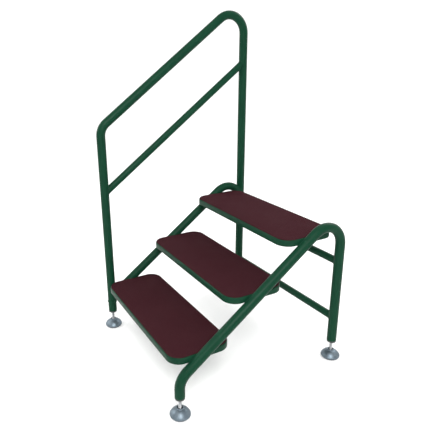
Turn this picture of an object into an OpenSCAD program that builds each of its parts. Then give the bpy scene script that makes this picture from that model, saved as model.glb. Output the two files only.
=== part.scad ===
// Three-step mounting block in bent steel tube, with a handrail and levelling feet.
// The origin is on the floor, midway between the four feet. The steps climb towards +Y,
// and the handrail is on the left of someone going up, at -X.

/* [Frame] */
// Distance between the centre lines of the two side frames
frame_w = 710; // [640:10:780]
// Distance between the front and rear leg centre lines
leg_span = 750; // [730:5:780]
// Outside diameter of the main tube
tube_d = 40; // [36:1:44]
// Wall thickness of the main tube
tube_wall = 2; // [1.5:0.5:3]
// Height of the lower ends of the legs
leg_end_z = 84; // [78:1:94]
// Centre-line radius of the bend at the foot of each stringer
front_bend_r = 80; // [50:5:80]
// Centre-line radius of the bend over the top of each rear leg
arch_bend_r = 87; // [60:1:90]

/* [Steps] */
// Height of the lowest tray's top face
first_rise = 234; // [230:1:260]
// Height from one tray to the next
rise = 180; // [160:5:200]
// Horizontal distance from one tray to the next
run = 245; // [235:5:255]
// Front to back depth of a tray
tray_depth = 260; // [250:5:270]
// Distance from the lowest tray's front edge to the front leg centre line
nosing = 22; // [10:2:30]
// Length by which each end of a tray stands past the tube's inner side
tray_lap = 10; // [6:1:14]
// Corner radius of a tray
tray_corner_r = 55; // [40:5:70]
// Height of a tray's turned-down edge
tray_edge_h = 26; // [22:1:30]
// Sheet thickness of a tray
sheet_t = 3; // [2:0.5:4]
// Thickness of the tread mat
mat_t = 3; // [2:0.5:5]
// Bare margin of the tray round the mat
mat_margin = 3; // [3:0.5:5]

/* [Rails] */
// Height of the top rail above the stringer, centre to centre
top_rail_above = 827; // [780:1:870]
// Height of the middle rail above the stringer, centre to centre
mid_rail_above = 530; // [480:1:560]
// Centre-line radius of the handrail's front bend
hoop_front_r = 70; // [60:5:100]
// Centre-line radius of the handrail's rear bend
hoop_rear_r = 82; // [60:1:90]
// Outside diameter of the middle rail and the crossbars
thin_d = 32; // [26:1:34]
// Height of the upper crossbar
crossbar_high_z = 454; // [430:2:474]
// Height of the lower crossbar
crossbar_low_z = 194; // [180:2:260]

/* [Feet] */
// Diameter of a foot pad
pad_d = 80; // [70:1:90]
// Diameter of the threaded stud
stud_d = 12; // [10:1:12]
// Radial running clearance of the stud in its insert
thread_gap = 0.05; // [0.02:0.01:0.1]
// Diameter of the ball at the lower end of the stud
ball_d = 16; // [15:0.5:17]
// Clearance all round the ball
ball_gap = 0.3; // [0.2:0.05:0.4]

/* [Hidden] */

$fn = 64;
// Overlap of cutting shapes with what they cut
cut = 1;

tube_r = tube_d / 2;
bore_r = tube_r - tube_wall;
thin_r = thin_d / 2;
thin_bore_r = thin_r - tube_wall;
right_x = frame_w / 2;
left_x = -frame_w / 2;
front_y = -leg_span / 2;
rear_y = leg_span / 2;

// Turn and height of the ring that the bending die leaves at each end of a bend
die_ring_turn = 2;
die_ring_h = 0.15;

// The stringer's slope, and its height where it passes a leg's centre line
slope = atan(rise / run);
tray_front_y = front_y - nosing;
tray_half_w = right_x - tube_r + tray_lap;
function stringer_z(y) = first_rise + (y - tray_front_y - tray_depth / 2) * rise / run;
corner_front_z = stringer_z(front_y);
corner_rear_z = stringer_z(rear_y);

// A tube bends by front_turn at a front corner and by rear_turn at a rear one
front_turn = 90 - slope;
rear_turn = 90 + slope;
function tangent(radius, turn) = radius * tan(turn / 2);

// Height above the bend's tangent point at which a coped handrail post stops, under its weld
post_lift = 20;
front_post_z = corner_front_z - tangent(front_bend_r, front_turn) + post_lift;
rear_post_z = corner_rear_z - tangent(arch_bend_r, rear_turn) + post_lift;

// Stiffening channel under a tray
channel_w = 60;
channel_h = 18;

// Threaded insert in a leg's end
insert_flange_h = 8;
insert_depth = 20;
insert_flange_inset = 0.5;
insert_flange_r = tube_r - insert_flange_inset;

// Foot, upwards from the floor
sole_h = 8;
sole_inset = 4;
sole_r = pad_d / 2 - sole_inset;
rim_z = 5;
rim_top_z = 10;
dome_z = 34;
dome_wall = 2.5;
ball_z = 17;
ball_r = ball_d / 2;
socket_r = ball_r + ball_gap;
hub_wall = 4.5;
hub_r = socket_r + hub_wall;
neck_z = 37;
neck_start = 4;
neck_r0 = sqrt(socket_r * socket_r - neck_start * neck_start);
neck_gap = 4.5;
neck_r1 = stud_d / 2 + neck_gap;
stud_reach = 33;
stud_top_z = leg_end_z + stud_reach;
dome_rise = dome_z - rim_top_z;
dome_r = (pad_d * pad_d / 4 + dome_rise * dome_rise) / (2 * dome_rise);

// A straight round bar from one [y, z] point to another, in the plane x = 0
module bar(from, to, radius) {
  dy = to[0] - from[0];
  dz = to[1] - from[1];
  translate([0, from[0], from[1]])
    rotate([-atan2(dy, dz), 0, 0])
      cylinder(r = radius, h = norm([dy, dz]));
}

// A bent round bar in the plane x = 0, about [y, z], from angle a0 round to a0 + turn
module bend(centre, bend_r, radius, a0, turn) {
  translate([0, centre[0], centre[1]])
    rotate([90, 0, 90])
      rotate([0, 0, a0])
        rotate_extrude(angle = turn)
          translate([bend_r, 0])
            circle(r = radius);
}

// The faint raised ring that a bending die leaves across a tube where a bend starts or ends,
// at the angle a0 of a bend about [y, z]
module die_ring(centre, bend_r, radius, a0) {
  bend(centre, bend_r, radius + die_ring_h, a0 - die_ring_turn / 2, die_ring_turn);
}

// A front post, a sloping run and a rear post in one piece, in the plane x = 0
module hoop_bar(radius, front_z, rear_z, front_foot_z, rear_foot_z, front_r, rear_r) {
  front_t = tangent(front_r, front_turn);
  rear_t = tangent(rear_r, rear_turn);
  along = [cos(slope), sin(slope)];
  front_centre = [front_y + front_r, front_z - front_t];
  rear_centre = [rear_y - rear_r, rear_z - rear_t];
  bar([front_y, front_foot_z], [front_y, front_z - front_t], radius);
  die_ring(front_centre, front_r, radius, 180);
  bend(front_centre, front_r, radius, 180 - front_turn, front_turn);
  die_ring(front_centre, front_r, radius, 180 - front_turn);
  bar([front_y, front_z] + front_t * along, [rear_y, rear_z] - rear_t * along, radius);
  die_ring(rear_centre, rear_r, radius, rear_turn);
  bend(rear_centre, rear_r, radius, 0, rear_turn);
  die_ring(rear_centre, rear_r, radius, 0);
  bar([rear_y, rear_foot_z], [rear_y, rear_z - rear_t], radius);
}

// A side frame: front leg, stringer, arch and rear leg, in the plane x = 0
module side_bar(radius, past_end = 0) {
  foot_z = leg_end_z - past_end;
  hoop_bar(radius, corner_front_z, corner_rear_z, foot_z, foot_z, front_bend_r, arch_bend_r);
}

module side_frame() {
  color("darkgreen")
    difference() {
      side_bar(tube_r);
      side_bar(bore_r, cut);
    }
}

module right_side_frame() {
  translate([right_x, 0, 0]) side_frame();
}

module left_side_frame() {
  translate([left_x, 0, 0]) side_frame();
}

// The handrail's outer tube, welded on top of the left side frame
module handrail_bar(radius, past_end = 0) {
  hoop_bar(radius, corner_front_z + top_rail_above, corner_rear_z + top_rail_above,
           front_post_z - past_end, rear_post_z - past_end, hoop_front_r, hoop_rear_r);
}

module handrail_hoop() {
  color("darkgreen")
    translate([left_x, 0, 0])
      difference() {
        handrail_bar(tube_r);
        handrail_bar(bore_r, cut);
        side_bar(tube_r);
      }
}

// The middle rail as a bar between the post centre lines, past_end longer at each end
module mid_rail_bar(radius, past_end = 0) {
  front_z = corner_front_z + mid_rail_above;
  rear_z = corner_rear_z + mid_rail_above;
  extra = past_end * [cos(slope), sin(slope)];
  bar([front_y, front_z] - extra, [rear_y, rear_z] + extra, radius);
}

module handrail_mid_rail() {
  color("darkgreen")
    translate([left_x, 0, 0])
      difference() {
        mid_rail_bar(thin_r);
        mid_rail_bar(thin_bore_r, cut);
        for (end = [[front_y, corner_front_z], [rear_y, corner_rear_z]])
          translate([0, end[0], end[1] + mid_rail_above - tube_d])
            cylinder(r = tube_r, h = 2 * tube_d);
      }
}

module crossbar(z) {
  color("darkgreen")
    difference() {
      translate([left_x, rear_y, z])
        rotate([0, 90, 0])
          difference() {
            cylinder(r = thin_r, h = frame_w);
            translate([0, 0, -cut]) cylinder(r = thin_bore_r, h = frame_w + 2 * cut);
          }
      for (x = [left_x, right_x])
        translate([x, rear_y, z - tube_d])
          cylinder(r = tube_r, h = 2 * tube_d);
    }
}

module rear_crossbar_upper() {
  crossbar(crossbar_high_z);
}

module rear_crossbar_lower() {
  crossbar(crossbar_low_z);
}

// A rectangle with round corners: half width, depth and corner radius
module round_rect(half_w, depth, corner) {
  translate([-half_w + corner, 0]) square([2 * (half_w - corner), depth]);
  translate([-half_w, corner]) square([2 * half_w, depth - 2 * corner]);
  for (x = [-half_w + corner, half_w - corner], y = [corner, depth - corner])
    translate([x, y]) circle(r = corner);
}

// The room that both side frames and the handrail's front post take out of a tray
module frame_room() {
  for (x = [left_x, right_x])
    translate([x, 0, 0]) side_bar(tube_r);
  translate([left_x, front_y, front_post_z])
    cylinder(r = tube_r, h = first_rise + mat_t + cut - front_post_z);
}

// A pressed tray, open below, for step 0, 1 or 2
module tray(step) {
  color("darkgreen")
    difference() {
      translate([0, tray_front_y + step * run, first_rise + step * rise - tray_edge_h])
        difference() {
          linear_extrude(tray_edge_h)
            round_rect(tray_half_w, tray_depth, tray_corner_r);
          translate([0, sheet_t, -cut])
            linear_extrude(tray_edge_h - sheet_t + cut)
              round_rect(tray_half_w - sheet_t, tray_depth - 2 * sheet_t, tray_corner_r - sheet_t);
        }
      frame_room();
    }
}

// A folded channel welded under a tray's middle, from stringer to stringer
module stiffener(step) {
  reach = tray_half_w - sheet_t;
  color("darkgreen")
    difference() {
      translate([-reach, tray_front_y + step * run + tray_depth / 2 - channel_w / 2,
                 first_rise + step * rise - sheet_t - channel_h])
        difference() {
          cube([2 * reach, channel_w, channel_h]);
          translate([-cut, sheet_t, sheet_t])
            cube([2 * (reach + cut), channel_w - 2 * sheet_t, channel_h]);
        }
      frame_room();
    }
}

// A non-slip mat stuck on a tray
module mat(step) {
  color("maroon")
    difference() {
      translate([0, tray_front_y + step * run + mat_margin, first_rise + step * rise])
        linear_extrude(mat_t)
          round_rect(tray_half_w - mat_margin, tray_depth - 2 * mat_margin, tray_corner_r - mat_margin);
      frame_room();
    }
}

module lower_tread_tray() {
  tray(0);
}

module middle_tread_tray() {
  tray(1);
}

module top_tread_tray() {
  tray(2);
}

module lower_tread_stiffener() {
  stiffener(0);
}

module middle_tread_stiffener() {
  stiffener(1);
}

module top_tread_stiffener() {
  stiffener(2);
}

module lower_tread_mat() {
  mat(0);
}

module middle_tread_mat() {
  mat(1);
}

module top_tread_mat() {
  mat(2);
}

// Threaded insert pressed into a leg's lower end, with a flange under the tube
module leg_insert() {
  color("dimgray")
    translate([0, 0, leg_end_z])
      difference() {
        union() {
          translate([0, 0, -insert_flange_h]) cylinder(r = insert_flange_r, h = insert_flange_h);
          cylinder(r = bore_r, h = insert_depth);
        }
        translate([0, 0, -insert_flange_h - cut])
          cylinder(r = stud_d / 2 + thread_gap, h = insert_flange_h + insert_depth + 2 * cut);
      }
}

// Stud with a ball end
module foot_stud() {
  color("silver") {
    translate([0, 0, ball_z]) sphere(r = ball_r);
    translate([0, 0, ball_z]) cylinder(r = stud_d / 2, h = stud_top_z - ball_z);
  }
}

// Domed steel pad with a ball socket
module foot_pad() {
  color("slategray")
    difference() {
      union() {
        difference() {
          dome_solid(0);
          dome_solid(dome_wall);
        }
        translate([0, 0, sole_h]) cylinder(r = hub_r, h = neck_z - sole_h);
      }
      translate([0, 0, ball_z]) sphere(r = socket_r);
      translate([0, 0, sole_h - cut]) cylinder(r = socket_r, h = ball_z - sole_h + cut);
      translate([0, 0, ball_z + neck_start])
        cylinder(r1 = neck_r0, r2 = neck_r1, h = neck_z - ball_z - neck_start);
      translate([0, 0, neck_z - cut / 2]) cylinder(r = neck_r1, h = cut);
    }
}

// The dome's solid form, shrunk all round by inset
module dome_solid(inset) {
  intersection() {
    translate([0, 0, dome_z - dome_r]) sphere(r = dome_r - inset);
    translate([0, 0, rim_z - inset]) cylinder(r = pad_d / 2 - inset, h = dome_z);
  }
}

// Rubber sole under a pad
module foot_sole() {
  color("black") cylinder(r = sole_r, h = sole_h);
}

module at_foot(x, y) {
  translate([x, y, 0]) children();
}

module front_right_leg_insert() {
  at_foot(right_x, front_y) leg_insert();
}

module front_left_leg_insert() {
  at_foot(left_x, front_y) leg_insert();
}

module rear_right_leg_insert() {
  at_foot(right_x, rear_y) leg_insert();
}

module rear_left_leg_insert() {
  at_foot(left_x, rear_y) leg_insert();
}

module front_right_foot_stud() {
  at_foot(right_x, front_y) foot_stud();
}

module front_left_foot_stud() {
  at_foot(left_x, front_y) foot_stud();
}

module rear_right_foot_stud() {
  at_foot(right_x, rear_y) foot_stud();
}

module rear_left_foot_stud() {
  at_foot(left_x, rear_y) foot_stud();
}

module front_right_foot_pad() {
  at_foot(right_x, front_y) foot_pad();
}

module front_left_foot_pad() {
  at_foot(left_x, front_y) foot_pad();
}

module rear_right_foot_pad() {
  at_foot(right_x, rear_y) foot_pad();
}

module rear_left_foot_pad() {
  at_foot(left_x, rear_y) foot_pad();
}

module front_right_foot_sole() {
  at_foot(right_x, front_y) foot_sole();
}

module front_left_foot_sole() {
  at_foot(left_x, front_y) foot_sole();
}

module rear_right_foot_sole() {
  at_foot(right_x, rear_y) foot_sole();
}

module rear_left_foot_sole() {
  at_foot(left_x, rear_y) foot_sole();
}

right_side_frame();
left_side_frame();
handrail_hoop();
handrail_mid_rail();
rear_crossbar_upper();
rear_crossbar_lower();
lower_tread_tray();
middle_tread_tray();
top_tread_tray();
lower_tread_stiffener();
middle_tread_stiffener();
top_tread_stiffener();
lower_tread_mat();
middle_tread_mat();
top_tread_mat();
front_right_leg_insert();
front_left_leg_insert();
rear_right_leg_insert();
rear_left_leg_insert();
front_right_foot_stud();
front_left_foot_stud();
rear_right_foot_stud();
rear_left_foot_stud();
front_right_foot_pad();
front_left_foot_pad();
rear_right_foot_pad();
rear_left_foot_pad();
front_right_foot_sole();
front_left_foot_sole();
rear_right_foot_sole();
rear_left_foot_sole();
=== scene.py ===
"""Looks of the three-step mounting block: powder coat, treads, welds, threaded studs, pads, light and camera.

Everything is in metres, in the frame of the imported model: +Z up, the steps climb towards +Y, and
the handrail is at -X. Round pieces are turned from short profiles, and welds follow the curves
on which the parts meet.
"""

import math

import bpy
from mathutils import Matrix, Vector


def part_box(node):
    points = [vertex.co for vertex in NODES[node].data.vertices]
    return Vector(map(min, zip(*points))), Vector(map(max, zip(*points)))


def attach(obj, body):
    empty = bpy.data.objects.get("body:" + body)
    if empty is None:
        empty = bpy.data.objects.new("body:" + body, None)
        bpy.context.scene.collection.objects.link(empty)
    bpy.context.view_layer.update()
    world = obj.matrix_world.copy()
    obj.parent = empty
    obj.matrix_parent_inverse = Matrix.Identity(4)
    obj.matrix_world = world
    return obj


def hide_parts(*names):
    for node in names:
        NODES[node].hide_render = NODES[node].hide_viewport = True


MM = 0.001


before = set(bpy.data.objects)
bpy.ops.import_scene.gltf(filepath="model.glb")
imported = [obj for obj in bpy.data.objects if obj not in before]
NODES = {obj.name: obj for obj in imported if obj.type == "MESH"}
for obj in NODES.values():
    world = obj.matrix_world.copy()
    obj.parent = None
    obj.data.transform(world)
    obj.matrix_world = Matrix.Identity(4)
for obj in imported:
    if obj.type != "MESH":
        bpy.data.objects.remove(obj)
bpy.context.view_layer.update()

# ---------------------------------------------------------------- places, from the frame

FEET = ("front_right", "front_left", "rear_right", "rear_left")
STEPS = ("lower", "middle", "top")
TUBE_R = 20 * MM
THIN_R = 16 * MM
FRONT_BEND_R = 80 * MM
ARCH_BEND_R = 87 * MM
POST_LIFT = 20 * MM


def centre(node):
    """The middle of a node's box."""
    low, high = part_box(node)
    return (low + high) / 2


def box_top(node):
    """Height of a node's highest point."""
    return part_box(node)[1].z


def in_mm(length):
    """A length from the frame in millimetres, without the last digits of its rounding."""
    return round(length / MM, 2)


FOOT_AT = {foot: centre(foot + "_leg_insert") for foot in FEET}
RIGHT_X = FOOT_AT["front_right"].x
LEFT_X = FOOT_AT["front_left"].x
FRONT_Y = FOOT_AT["front_right"].y
REAR_Y = FOOT_AT["rear_right"].y
TRAY_TOP = {step: box_top(step + "_tread_tray") for step in STEPS}
TRAY_MID_Y = {step: centre(step + "_tread_tray").y for step in STEPS}
RISE = TRAY_TOP["middle"] - TRAY_TOP["lower"]
RUN = TRAY_MID_Y["middle"] - TRAY_MID_Y["lower"]
SLOPE = math.atan2(RISE, RUN)


def stringer_z(y):
    """Height of the stringers' centre line."""
    return TRAY_TOP["lower"] + (y - TRAY_MID_Y["lower"]) * RISE / RUN


def tangent(radius, turn):
    """Distance from a bend's corner to where the bend starts."""
    return radius * math.tan(turn / 2)


FRONT_BEND_Z = stringer_z(FRONT_Y) - tangent(FRONT_BEND_R, math.pi / 2 - SLOPE)
ARCH_BEND_Z = stringer_z(REAR_Y) - tangent(ARCH_BEND_R, math.pi / 2 + SLOPE)

# ---------------------------------------------------------------- materials


GREEN_DEEP = (0.0028, 0.0300, 0.0145)
GREEN_LIGHT = (0.0040, 0.0370, 0.0180)
GREEN_SPECK = (0.0075, 0.054, 0.028)
GREEN_SCUFF = (0.075, 0.135, 0.10)
MAROON_DEEP = (0.0275, 0.0070, 0.0096)
MAROON_LIGHT = (0.0405, 0.0102, 0.0140)
MAROON_WORN = (0.041, 0.0135, 0.0165)
# paler maroon for tiny dots on the mat's grit: painted glints, a painted highlight
GRIT_PAINTED_GLINT = (0.15, 0.075, 0.085)
ZINC_STAIN = (0.16, 0.175, 0.18)
YARD_DUST = (0.16, 0.15, 0.135)
FLOOR_SHADE = (0.90, 0.90, 0.90)
FLOOR_PALE = (0.915, 0.915, 0.91)


class Nodes:
    """A short way to write a material's node tree."""

    def __init__(self, name):
        self.material = bpy.data.materials.new(name)
        self.material.use_nodes = True
        self.tree = self.material.node_tree
        self.shader = self.tree.nodes["Principled BSDF"]
        coordinates = self.tree.nodes.new("ShaderNodeTexCoord")
        self.place = coordinates.outputs["Object"]

    def set(self, **values):
        """Constants on the shader's own inputs, with _ for a space in a name."""
        for name, value in values.items():
            self.shader.inputs[name.replace("_", " ")].default_value = value

    def link(self, source, target):
        self.tree.links.new(source, target)

    def noise(self, scale, detail=4.0, rough=0.55, stretch=None):
        """Soft noise with features of about 1 / scale metres."""
        node = self.tree.nodes.new("ShaderNodeTexNoise")
        node.inputs["Scale"].default_value = scale
        node.inputs["Detail"].default_value = detail
        node.inputs["Roughness"].default_value = rough
        self.link(self.stretched(stretch), node.inputs["Vector"])
        return node.outputs["Fac"]

    def cells(self, scale, output="Distance"):
        """Cells of about 1 / scale metres, as the distance to a cell's middle or as its colour."""
        node = self.tree.nodes.new("ShaderNodeTexVoronoi")
        node.inputs["Scale"].default_value = scale
        self.link(self.place, node.inputs["Vector"])
        return node.outputs[output]

    def stretched(self, stretch):
        """The place on the object, drawn out along an axis whose factor is under 1."""
        if stretch is None:
            return self.place
        node = self.tree.nodes.new("ShaderNodeMapping")
        node.inputs["Scale"].default_value = stretch
        self.link(self.place, node.inputs["Vector"])
        return node.outputs["Vector"]

    def ramp(self, source, low, high, low_value=0.0, high_value=1.0):
        """source from low to high, as low_value to high_value, held at both ends."""
        node = self.tree.nodes.new("ShaderNodeMapRange")
        node.clamp = True
        limits = {"From Min": low, "From Max": high, "To Min": low_value, "To Max": high_value}
        for name, value in limits.items():
            node.inputs[name].default_value = value
        self.link(source, node.inputs["Value"])
        return node.outputs["Result"]

    def blend(self, factor, first, second):
        """Two colours or colour sockets mixed by factor."""
        node = self.tree.nodes.new("ShaderNodeMix")
        node.data_type = "RGBA"
        self.link(factor, node.inputs["Factor"])
        for name, colour in (("A", first), ("B", second)):
            socket = [i for i in node.inputs if i.name == name and i.type == "RGBA"][0]
            if isinstance(colour, tuple):
                socket.default_value = colour + (1.0,)
            else:
                self.link(colour, socket)
        return [o for o in node.outputs if o.type == "RGBA"][0]

    def math(self, operation, first, second):
        """A sum or product of numbers or sockets."""
        node = self.tree.nodes.new("ShaderNodeMath")
        node.operation = operation
        for index, value in enumerate((first, second)):
            if isinstance(value, (int, float)):
                node.inputs[index].default_value = value
            else:
                self.link(value, node.inputs[index])
        return node.outputs[0]

    def bump(self, height, distance, strength, below=None):
        """A bumped normal, on top of the one below."""
        node = self.tree.nodes.new("ShaderNodeBump")
        node.inputs["Distance"].default_value = distance
        node.inputs["Strength"].default_value = strength
        self.link(height, node.inputs["Height"])
        if below is not None:
            self.link(below, node.inputs["Normal"])
        return node.outputs["Normal"]

    def finish(self, colour, roughness, normal):
        """The finished material."""
        self.link(colour, self.shader.inputs["Base Color"])
        self.link(roughness, self.shader.inputs["Roughness"])
        self.link(normal, self.shader.inputs["Normal"])
        return self.material


def powder_coat(name, wear):
    """Dark green powder coat: fine orange peel, faint cloudiness, and scuffs where wear is above 0."""
    n = Nodes(name)
    n.set(Coat_Weight=0.02, Coat_Roughness=0.3, Specular_IOR_Level=0.07)
    clouds = n.ramp(n.noise(9.0, 3.0), 0.3, 0.7)
    paint = n.blend(clouds, GREEN_DEEP, GREEN_LIGHT)
    speck = n.ramp(n.noise(900.0, 2.0), 0.35, 0.75)
    paint = n.blend(n.math("MULTIPLY", speck, 0.22), paint, GREEN_SPECK)
    scuff_area = n.ramp(n.noise(26.0, 5.0, 0.7), 0.62, 0.72)
    scuff_lines = n.ramp(n.noise(260.0, 4.0, 0.7, (0.25, 1.0, 1.0)), 0.5, 0.62)
    scuff = n.math("MULTIPLY", n.math("MULTIPLY", scuff_area, scuff_lines), wear)
    paint = n.blend(scuff, paint, GREEN_SCUFF)
    gloss = n.ramp(n.noise(30.0, 3.0), 0.3, 0.7, 0.34, 0.44)
    roughness = n.math("ADD", gloss, n.math("MULTIPLY", scuff, 0.25))
    peel = n.bump(n.noise(420.0, 2.0, 0.4), 0.00025, 0.5)
    grain = n.bump(n.noise(1500.0, 1.0, 0.4), 0.00006, 0.5, peel)
    return n.finish(paint, roughness, grain)


def tread_mat():
    """Maroon non-slip mat: grit a millimetre or so across, paler, smoother patches from boots, and tiny pale
    dots of painted glint on the grit.
    """
    n = Nodes("maroon_tread_mat")
    n.set(Specular_IOR_Level=0.03)
    tint = n.ramp(n.cells(700.0, "Color"), 0.1, 0.9)
    base = n.blend(tint, MAROON_DEEP, MAROON_LIGHT)
    patch = n.ramp(n.noise(7.0, 4.0, 0.6), 0.45, 0.72)
    base = n.blend(n.math("MULTIPLY", patch, 0.35), base, MAROON_WORN)
    # tiny pale dots mixed half into the colour: painted glints of light off the grit
    painted_glint = n.ramp(n.noise(2200.0, 1.0), 0.66, 0.74)
    base = n.blend(n.math("MULTIPLY", painted_glint, 0.5), base, GRIT_PAINTED_GLINT)
    roughness = n.ramp(n.noise(14.0, 4.0), 0.3, 0.7, 0.78, 0.93)
    grit = n.bump(n.ramp(n.cells(620.0), 0.0, 0.55, 1.0, 0.0), 0.0006, 0.8)
    fine = n.bump(n.noise(2600.0, 2.0), 0.00015, 0.6, grit)
    return n.finish(base, roughness, fine)


def zinc(name, rough_low, rough_high, dark, light):
    """Blue-grey zinc plate: faint clouding, fine brushed grain and dull handling marks."""
    n = Nodes(name)
    n.set(Metallic=1.0)
    cloud = n.ramp(n.noise(60.0, 3.0), 0.3, 0.7)
    plate = n.blend(cloud, dark, light)
    stain = n.ramp(n.noise(45.0, 5.0, 0.65), 0.52, 0.75)
    plate = n.blend(n.math("MULTIPLY", stain, 0.4), plate, ZINC_STAIN)
    brushed = n.ramp(n.noise(70.0, 4.0), 0.3, 0.7, rough_low, rough_high)
    roughness = n.math("ADD", brushed, n.math("MULTIPLY", stain, 0.12))
    grain = n.bump(n.noise(500.0, 3.0, 0.5, (1.0, 1.0, 5.0)), 0.00005, 0.6)
    pits = n.bump(n.noise(1300.0, 2.0), 0.00004, 0.5, grain)
    return n.finish(plate, roughness, pits)


def moulded(name, dark, light, scale, rough_low, rough_high):
    """A moulded plastic or rubber skin: fine grain, with patches of yard dust."""
    n = Nodes(name)
    n.set(Specular_IOR_Level=0.35)
    tone = n.ramp(n.noise(40.0, 4.0, 0.6), 0.35, 0.7)
    skin = n.blend(tone, dark, light)
    dust = n.ramp(n.noise(170.0, 4.0, 0.7), 0.58, 0.75)
    skin = n.blend(n.math("MULTIPLY", dust, 0.25), skin, YARD_DUST)
    roughness = n.ramp(n.noise(90.0, 3.0), 0.3, 0.7, rough_low, rough_high)
    grain = n.bump(n.noise(scale, 2.0, 0.5), 0.00012, 0.7)
    return n.finish(skin, roughness, grain)


FRAME_GREEN = powder_coat("green_powder_coat", 0.15)
TRAY_GREEN = powder_coat("green_powder_coat_scuffed", 0.55)
WELD_GREEN = powder_coat("green_powder_coat_on_weld", 0.0)
MAROON = tread_mat()
ZINC_PAD = zinc("zinc_pad", 0.40, 0.50, (0.125, 0.160, 0.190), (0.165, 0.205, 0.235))
ZINC_STUD = zinc("zinc_stud", 0.36, 0.48, (0.36, 0.37, 0.39), (0.50, 0.51, 0.52))
NYLON = moulded("grey_nylon", (0.035, 0.042, 0.040), (0.060, 0.070, 0.066), 1400.0, 0.50, 0.66)
SOLE = moulded("sole_rubber", (0.010, 0.010, 0.010), (0.022, 0.021, 0.020), 900.0, 0.72, 0.9)

# ---------------------------------------------------------------- mesh helpers

SHARP_ANGLE = math.radians(38)


def piece(name, verts, faces, body, material):
    """A mesh object that rides on a body."""
    mesh = bpy.data.meshes.new(name)
    mesh.from_pydata(verts, [], faces)
    mesh.validate()
    mesh.polygons.foreach_set("use_smooth", [True] * len(mesh.polygons))
    mesh.set_sharp_from_angle(angle=SHARP_ANGLE)
    mesh.materials.append(material)
    obj = bpy.data.objects.new(name, mesh)
    bpy.context.scene.collection.objects.link(obj)
    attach(obj, body)
    return obj


def ring_faces(rows, columns, closed_rows=False):
    """Quads between rows of a grid whose columns close on themselves."""
    faces = []
    for i in range(rows if closed_rows else rows - 1):
        j = (i + 1) % rows
        for k in range(columns):
            m = (k + 1) % columns
            faces.append((i * columns + k, i * columns + m, j * columns + m, j * columns + k))
    return faces


def arc(cx, cz, radius, start, end, steps):
    """Profile points on an arc, in degrees from +r towards +z."""
    points = []
    for i in range(steps + 1):
        a = math.radians(start + (end - start) * i / steps)
        points.append((cx + radius * math.cos(a), cz + radius * math.sin(a)))
    return points


def turned(name, profile, at, body, material, columns=72):
    """A closed profile of (radius, height) in millimetres, turned about the upright axis at a foot."""
    verts = []
    for radius, height in profile:
        for k in range(columns):
            a = 2 * math.pi * k / columns
            verts.append((at.x + radius * MM * math.cos(a), at.y + radius * MM * math.sin(a), height * MM))
    faces = ring_faces(len(profile), columns, closed_rows=True)
    return piece(name, verts, faces, body, material)


# ---------------------------------------------------------------- feet, millimetres above the floor

STUD_R = 6.0
PITCH = 1.75
THREAD_DEPTH = 0.95
THREAD_ROOT_R = STUD_R - THREAD_DEPTH
NECK_FRACTION = 0.8
THREAD_CHAMFER = 1.5
ROWS_PER_PITCH = 7
BALL_R = 8.0
BALL_Z = 17.0
THREAD_START = 33.0
STUD_TOP = in_mm(box_top("front_right_foot_stud"))
SOCKET_R = 8.3
PAD_R = 40.0
DOME_FOOT = 10.0
DOME_TOP = 34.0
DOME_SHEET = 2.5
COLLAR_FOOT_R = 14.6
FLANGE_H = 8.0
LEG_END = in_mm(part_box("front_right_leg_insert")[0].z) + FLANGE_H
INSERT_TOP = in_mm(box_top("front_right_leg_insert"))


def stud_radius(height, angle):
    """Radius of the stud's surface: ball, plain neck, then an M12 thread that runs in and out."""
    up = height - BALL_Z
    if up < math.sqrt(BALL_R ** 2 - THREAD_ROOT_R ** 2):
        return math.sqrt(max(BALL_R ** 2 - up ** 2, 0.0))
    if height < THREAD_START:
        return THREAD_ROOT_R + THREAD_DEPTH * NECK_FRACTION
    phase = (height / PITCH - angle / (2 * math.pi)) % 1.0
    ridge = max(0.0, min(1.0, 1.35 - abs(phase - 0.5) * 3.6))
    run_in = min(1.0, (height - THREAD_START) / (2 * PITCH))
    chamfer = min(1.0, (STUD_TOP - height) / THREAD_CHAMFER)
    return THREAD_ROOT_R + THREAD_DEPTH * (ridge * run_in + NECK_FRACTION * (1 - run_in)) * chamfer


def make_stud(foot, at):
    """Ball, neck and thread in one closed skin, with rows close enough to follow the ball."""
    columns = 36
    heights = [BALL_Z + BALL_R * math.sin(math.radians(a)) for a in range(-86, 50, 5)]
    neck = heights[-1]
    heights += [neck + (THREAD_START - neck) * i / 4 for i in range(1, 5)]
    rows = int((STUD_TOP - THREAD_START) / (PITCH / ROWS_PER_PITCH))
    heights += [THREAD_START + (STUD_TOP - THREAD_START) * i / rows for i in range(1, rows + 1)]
    verts = []
    for height in heights:
        for k in range(columns):
            a = 2 * math.pi * k / columns
            r = stud_radius(height, a) * MM
            verts.append((at.x + r * math.cos(a), at.y + r * math.sin(a), height * MM))
    faces = ring_faces(len(heights), columns)
    faces.append(tuple(reversed(range(columns))))
    last = (len(heights) - 1) * columns
    faces.append(tuple(range(last, last + columns)))
    stud = piece(foot + "_threaded_stud", verts, faces, foot + "_stud", ZINC_STUD)
    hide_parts(foot + "_foot_stud")


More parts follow.
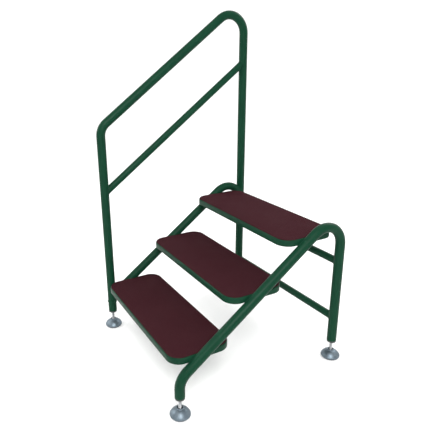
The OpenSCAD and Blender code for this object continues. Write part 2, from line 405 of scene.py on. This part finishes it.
def pad_profile():
    """Pressed dome with a rolled rim, a short collar at the neck and a ball socket inside."""
    rise = DOME_TOP - DOME_FOOT
    sphere = (PAD_R ** 2 + rise ** 2) / (2 * rise)
    low = DOME_TOP - sphere
    edge = math.degrees(math.asin((DOME_FOOT - low) / sphere))
    collar_foot = math.degrees(math.acos(COLLAR_FOOT_R / sphere))
    outer = arc(0.0, low, sphere, edge, collar_foot, 22)
    collar = [(13.3, 34.2), (12.9, 35.0)] + arc(11.9, 36.0, 1.0, 0, 90, 4)
    neck = [(10.6, 36.8), (10.2, 35.6), (7.6, 22.0)]
    socket = arc(0.0, BALL_Z, SOCKET_R, 32, 0, 4) + [(SOCKET_R, 8.2)]
    hub = [(12.6, 8.2), (12.8, 8.6), (12.8, 29.0)]
    inner = arc(0.0, low, sphere - DOME_SHEET, collar_foot - 2, edge + 1, 14)
    rim = [(37.5, 7.0)] + arc(38.6, 6.2, 1.2, 180, 360, 8) + [(PAD_R, 7.4)]
    points = []
    for stretch in (outer, rim, inner, hub, socket, neck, collar):
        points += stretch[::-1]
    return points


def sole_profile():
    """Rubber disc with a rounded edge and three rings of grip grooves underneath."""
    grooves = []
    for radius in (10.0, 18.0, 26.0):
        grooves += [(radius - 1.6, 0.0), (radius - 0.9, 1.2), (radius + 0.9, 1.2), (radius + 1.6, 0.0)]
    under = [(2.0, 0.0)] + grooves + [(34.0, 0.0)]
    edge = arc(34.4, 1.6, 1.6, -75, 0, 5) + arc(34.8, 6.8, 1.2, 0, 90, 4)
    return under + edge + [(2.0, 8.0)]


def insert_profile():
    """Nylon insert: rounded flange under the tube, ribbed barrel in it."""
    low = LEG_END - FLANGE_H
    flange = [(6.4, low), (17.6, low)] + arc(17.6, low + 1.9, 1.9, -80, 0, 6)
    flange += [(19.5, LEG_END - 0.3), (19.2, LEG_END - 0.02), (17.9, LEG_END - 0.02)]
    ribs = []
    for i in range(3):
        z = LEG_END + 2.5 + 5.5 * i
        ribs += [(17.4, z), (17.9, z + 1.0), (17.9, z + 3.0), (17.4, z + 4.0)]
    bore = [(6.6, INSERT_TOP), (6.08, INSERT_TOP - 0.6), (6.08, low + 0.4)]
    return flange + ribs + [(16.5, INSERT_TOP)] + bore


for foot in FEET:
    here = FOOT_AT[foot]
    make_stud(foot, here)
    pad = turned(foot + "_domed_pad", pad_profile(), here, foot + "_pad", ZINC_PAD, 96)
    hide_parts(foot + "_foot_pad")
    sole = turned(foot + "_grip_sole", sole_profile(), here, foot + "_pad", SOLE)
    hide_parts(foot + "_foot_sole")
    plug = turned(foot + "_tube_insert", insert_profile(), here, "frame", NYLON)
    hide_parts(foot + "_leg_insert")

# ---------------------------------------------------------------- treads

CORNER_STEPS = 14
TRAY_CORNER_R = 55.0
MAT_CORNER_R = 52.0
TRAY_SHOULDER_R = 4.5
MAT_ROUND_R = 1.3


def rounded_outline(half_w, half_d, corner, inset):
    """Points round a rectangle with round corners, moved in by inset."""
    points = []
    for quarter, (sx, sy) in enumerate(((1, 1), (-1, 1), (-1, -1), (1, -1))):
        cx = sx * (half_w - corner)
        cy = sy * (half_d - corner)
        for i in range(CORNER_STEPS + 1):
            a = math.pi / 2 * (quarter + i / CORNER_STEPS)
            points.append((cx + (corner - inset) * math.cos(a), cy + (corner - inset) * math.sin(a)))
    return points


def panel(name, node, corner, profile, material):
    """A flat panel with a shaped edge in place of a node.

    profile lists (inset, depth below the top), in millimetres, from the top face round the edge
    to the underside.
    """
    low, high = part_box(node)
    mid = (low + high) / 2
    half_w = (high.x - low.x) / 2
    half_d = (high.y - low.y) / 2
    verts = []
    for inset, depth in profile:
        for x, y in rounded_outline(half_w, half_d, corner * MM, inset * MM):
            verts.append((mid.x + x, mid.y + y, high.z - depth * MM))
    columns = 4 * (CORNER_STEPS + 1)
    faces = [tuple(range(columns))]
    for quad in ring_faces(len(profile), columns):
        faces.append(quad[::-1])
    last = (len(profile) - 1) * columns
    faces.append(tuple(reversed(range(last, last + columns))))
    obj = piece(name, verts, faces, "frame", material)
    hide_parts(node)


def rounded_edge(radius, step):
    """A quarter round from a top face to its side, as (inset, depth), with a point every step degrees."""
    angles = [math.radians(a) for a in range(0, 91, step)]
    return [(radius - radius * math.sin(a), radius - radius * math.cos(a)) for a in angles]


def tray_edge():
    """Pressed edge: round shoulder, straight band, small hem, then the inside face."""
    hem = [(0.0, 24.6), (0.25, 25.5), (1.0, 26.0), (2.2, 26.0), (2.85, 25.5), (3.0, 24.6)]
    inside = [(3.0, 6.0), (3.6, 4.2), (5.0, 3.2), (7.0, 3.0)]
    return rounded_edge(TRAY_SHOULDER_R, 15) + hem + inside


def mat_edge():
    """Mat edge: small round on top, straight to the tray."""
    return rounded_edge(MAT_ROUND_R, 18) + [(0.0, 2.6), (0.4, 3.0)]


for step in STEPS:
    tread = step + "_tread_"
    panel(step + "_pressed_tray", tread + "tray", TRAY_CORNER_R, tray_edge(), TRAY_GREEN)
    panel(step + "_non_slip_mat", tread + "mat", MAT_CORNER_R, mat_edge(), MAROON)

# ---------------------------------------------------------------- welds

RIPPLE = 3.6 * MM
RIPPLE_VALLEY = 0.84
POST_BEAD_R = 3.2 * MM
THIN_BEAD_R = 2.2 * MM
TRAY_BEAD_R = 2.4 * MM
BAND_TOP = 1.5 * MM
BAND_FOOT = 25.5 * MM
COPE_ANGLE = math.radians(27)


def ripple(distance):
    """A bead's relative size at a distance along it: a row of humps with narrow valleys."""
    phase = (distance / RIPPLE) % 1.0
    return RIPPLE_VALLEY + (1 - RIPPLE_VALLEY) * math.sqrt(1.0 - (2 * phase - 1) ** 2 * 0.95)


def weld(name, path, radius, closed=False):
    """A weld bead along a path: a round bar whose ripples overlap like stacked coins."""
    columns = 10
    lengths = [0.0]
    for a, b in zip(path, path[1:]):
        lengths.append(lengths[-1] + (b - a).length)
    total = lengths[-1] + ((path[0] - path[-1]).length if closed else 0.0)
    count = max(8, int(total / (RIPPLE / 5)))
    dense = []
    for i in range(count + (0 if closed else 1)):
        s = total * i / count
        k = max(j for j in range(len(path)) if lengths[j] <= s + 1e-9)
        after = path[(k + 1) % len(path)]
        gap = (lengths[k + 1] if k + 1 < len(path) else total) - lengths[k]
        t = (s - lengths[k]) / gap if gap > 1e-9 else 0.0
        dense.append((path[k].lerp(after, min(t, 1.0)), s))
    verts = []
    for i, (point, s) in enumerate(dense):
        before = dense[i - 1][0] if closed or i else point
        after = dense[(i + 1) % len(dense)][0] if closed or i + 1 < len(dense) else point
        along = (after - before).normalized()
        across = side - along * side.dot(along) if verts else along.orthogonal()
        side = across.normalized()
        up = along.cross(side)
        size = radius * ripple(s)
        if not closed:
            end = min(s, total - s)
            size *= min(1.0, 0.45 + end / (2.2 * radius))
        for k in range(columns):
            a = 2 * math.pi * k / columns
            verts.append(tuple(point + side * (size * math.cos(a)) + up * (size * math.sin(a))))
    faces = ring_faces(len(dense), columns, closed_rows=closed)
    if not closed:
        faces.append(tuple(reversed(range(columns))))
        last = (len(dense) - 1) * columns
        faces.append(tuple(range(last, last + columns)))
    piece(name, verts, faces, "frame", WELD_GREEN)


def round_path(point, steps=72):
    """A closed path of the places that point gives round a full turn."""
    return [Vector(point(2 * math.pi * i / steps)) for i in range(steps)]


def post_weld(name, post_y, bend_z, bend_r, towards):
    """Round the coped foot of a handrail post, where it stands on a bend that leans towards +Y or -Y."""
    def point(a):
        lean = max(0.0, math.sin(a))
        lift = max(POST_LIFT, math.sqrt(4 * bend_r * TUBE_R * lean))
        return (LEFT_X + TUBE_R * math.cos(a), post_y + towards * TUBE_R * math.sin(a), bend_z + lift)
    weld(name, round_path(point), POST_BEAD_R, closed=True)


def mid_rail_weld(name, post_y, towards):
    """Round the end of the middle rail, on a post's side that faces towards +Y or -Y."""
    axis_z = centre("handrail_mid_rail").z + (post_y - centre("handrail_mid_rail").y) * math.tan(SLOPE)

    def point(a):
        out = towards * math.sqrt(TUBE_R ** 2 - (THIN_R * math.cos(a)) ** 2)
        along = (out + THIN_R * math.sin(a) * math.sin(SLOPE)) / math.cos(SLOPE)
        z = axis_z + along * math.sin(SLOPE) + THIN_R * math.sin(a) * math.cos(SLOPE)
        return (LEFT_X + THIN_R * math.cos(a), post_y + out, z)
    weld(name, round_path(point), THIN_BEAD_R, closed=True)


def crossbar_weld(name, node, side):
    """Round the end of a crossbar, on the inner side of the right (1) or left (-1) rear leg."""
    z = centre(node).z

    def point(a):
        x = side * (RIGHT_X - math.sqrt(TUBE_R ** 2 - (THIN_R * math.cos(a)) ** 2))
        return (x, REAR_Y + THIN_R * math.cos(a), z + THIN_R * math.sin(a))
    weld(name, round_path(point), THIN_BEAD_R, closed=True)


def tray_welds(step, side, side_name):
    """Two short welds where a tray's end band meets the stringer, in front of it and behind it."""
    end_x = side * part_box(step + "_tread_tray")[1].x
    offset = math.sqrt(TUBE_R ** 2 - (RIGHT_X - abs(end_x)) ** 2)
    for where, sign in (("front", 1), ("rear", -1)):
        path = []
        for depth in (BAND_FOOT, BAND_TOP):
            z = TRAY_TOP[step] - depth
            y = TRAY_MID_Y[step] - depth / math.tan(SLOPE) - sign * offset / math.sin(SLOPE)
            path.append(Vector((end_x, y, z)))
        weld(f"{step}_tray_{side_name}_{where}_weld", path, TRAY_BEAD_R)


def stiffener_weld(step, side, side_name):
    """A weld along the stiffener's lower edge, on the inner side of the stringer."""
    low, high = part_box(step + "_tread_stiffener")
    tube_y = TRAY_MID_Y[step] - (TRAY_TOP[step] - low.z) / math.tan(SLOPE)
    reach = TUBE_R / math.sin(SLOPE)
    path = []
    for i in range(13):
        y = low.y + (tube_y + 0.85 * reach - low.y) * i / 12
        x = RIGHT_X - TUBE_R * math.sqrt(max(0.0, 1 - ((y - tube_y) / reach) ** 2))
        path.append(Vector((side * x, y, low.z)))
    weld(f"{step}_stiffener_{side_name}_weld", path, THIN_BEAD_R)


def cope_weld():
    """Down the side of the front post, where the lower tray's corner is cut round it."""
    x = LEFT_X + TUBE_R * math.cos(COPE_ANGLE)
    y = FRONT_Y + TUBE_R * math.sin(COPE_ANGLE)
    top = TRAY_TOP["lower"]
    path = [Vector((x, y, top - depth)) for depth in (25 * MM, BAND_TOP)]
    weld("lower_tray_post_weld", path, THIN_BEAD_R)


cope_weld()
post_weld("handrail_front_post_weld", FRONT_Y, FRONT_BEND_Z, FRONT_BEND_R, 1)
post_weld("handrail_rear_post_weld", REAR_Y, ARCH_BEND_Z, ARCH_BEND_R, -1)
mid_rail_weld("mid_rail_front_weld", FRONT_Y, 1)
mid_rail_weld("mid_rail_rear_weld", REAR_Y, -1)
for side, side_name in ((1, "right"), (-1, "left")):
    for level in ("upper", "lower"):
        crossbar_weld(f"crossbar_{level}_{side_name}_weld", "rear_crossbar_" + level, side)
    for step in STEPS:
        tray_welds(step, side, side_name)
        stiffener_weld(step, side, side_name)

# ---------------------------------------------------------------- finishes on the CAD nodes that stay

for name, node in NODES.items():
    green = TRAY_GREEN if "stiffener" in name else FRAME_GREEN
    node.data.materials.clear()
    node.data.materials.append(green)
    node.data.polygons.foreach_set("material_index", [0] * len(node.data.polygons))

# ---------------------------------------------------------------- floor, light and camera

FLOOR_R = 4.5
SWEEP_R = 3.0
WALL_TOP = 9.0


def make_backdrop():
    """A round white studio: a level floor that sweeps up into a wall, with no edge to see."""
    profile = [(0.0, 0.0)] + [(FLOOR_R * f, 0.0) for f in (0.12, 0.3, 0.55, 0.8)]
    profile += arc(FLOOR_R, SWEEP_R, SWEEP_R, -90, 0, 16) + [(FLOOR_R + SWEEP_R, WALL_TOP)]
    columns = 96
    verts = []
    for radius, height in profile[1:]:
        for k in range(columns):
            a = 2 * math.pi * k / columns
            verts.append((radius * math.cos(a), radius * math.sin(a), height))
    faces = [tuple(range(columns))]
    faces += [tuple(reversed(face)) for face in ring_faces(len(profile) - 1, columns)]
    mesh = bpy.data.meshes.new("backdrop")
    mesh.from_pydata(verts, [], faces)
    mesh.polygons.foreach_set("use_smooth", [True] * len(mesh.polygons))
    n = Nodes("pale_backdrop")
    tone = n.ramp(n.noise(2.0, 3.0), 0.3, 0.7)
    rough = n.ramp(n.noise(6.0, 3.0), 0.3, 0.7, 0.85, 0.95)
    n.set(Specular_IOR_Level=0.1, Emission_Strength=0.1)
    n.finish(n.blend(tone, FLOOR_SHADE, FLOOR_PALE), rough, n.bump(n.noise(300.0), 0.0001, 0.2))
    mesh.materials.append(n.material)
    backdrop = bpy.data.objects.new("backdrop", mesh)
    bpy.context.scene.collection.objects.link(backdrop)


def aim(obj, target):
    """Turn an object's -Z towards a place."""
    direction = Vector(target) - obj.location
    obj.rotation_euler = direction.to_track_quat("-Z", "Y").to_euler()


def area_light(name, at, target, size, power):
    """A round soft light, size across in metres and power in watts."""
    data = bpy.data.lights.new(name, "AREA")
    data.shape = "DISK"
    data.size = size
    data.energy = power
    light = bpy.data.objects.new(name, data)
    light.location = at
    bpy.context.scene.collection.objects.link(light)
    aim(light, target)


def make_world(strength):
    """Even white light from all round."""
    world = bpy.data.worlds.new("studio")
    world.use_nodes = True
    background = world.node_tree.nodes["Background"]
    background.inputs["Color"].default_value = (1.0, 1.0, 1.0, 1.0)
    background.inputs["Strength"].default_value = strength
    bpy.context.scene.world = world


SENSOR_WIDTH = 36.0
LENS = 39.6251
CAMERA_AT = Vector((1.6415, -1.031, 1.297))
YAW = math.radians(63.13)
PITCH_DOWN = math.radians(17.92)
ROLL = math.radians(1.34)
SHIFT_X = 0.0945
SHIFT_Y = -0.0250


def make_camera():
    """The camera stands to the right of the steps and looks down across them, rolled a little."""
    level = math.cos(PITCH_DOWN)
    forward = Vector((-math.sin(YAW) * level, math.cos(YAW) * level, -math.sin(PITCH_DOWN)))
    right = Vector((math.cos(YAW), math.sin(YAW), 0.0))
    down = forward.cross(right)
    rolled_right = math.cos(ROLL) * right + math.sin(ROLL) * down
    rolled_down = -math.sin(ROLL) * right + math.cos(ROLL) * down
    turn = Matrix((rolled_right, -rolled_down, -forward)).transposed()
    data = bpy.data.cameras.new("camera")
    data.sensor_width = SENSOR_WIDTH
    data.lens = LENS
    data.shift_x = SHIFT_X
    data.shift_y = SHIFT_Y
    camera = bpy.data.objects.new("camera", data)
    camera.matrix_world = Matrix.Translation(CAMERA_AT) @ turn.to_4x4()
    bpy.context.scene.collection.objects.link(camera)
    bpy.context.scene.camera = camera


make_backdrop()
make_world(1.0)
area_light("key", (2.6, -1.4, 3.2), (0.0, 0.0, 0.5), 1.6, 110)
area_light("fill", (-2.6, -2.6, 2.4), (0.0, 0.0, 0.6), 2.4, 45)
area_light("back", (-0.5, 3.2, 2.8), (0.0, 0.0, 0.6), 2.0, 50)
make_camera()
bpy.context.scene.view_settings.view_transform = "Standard"
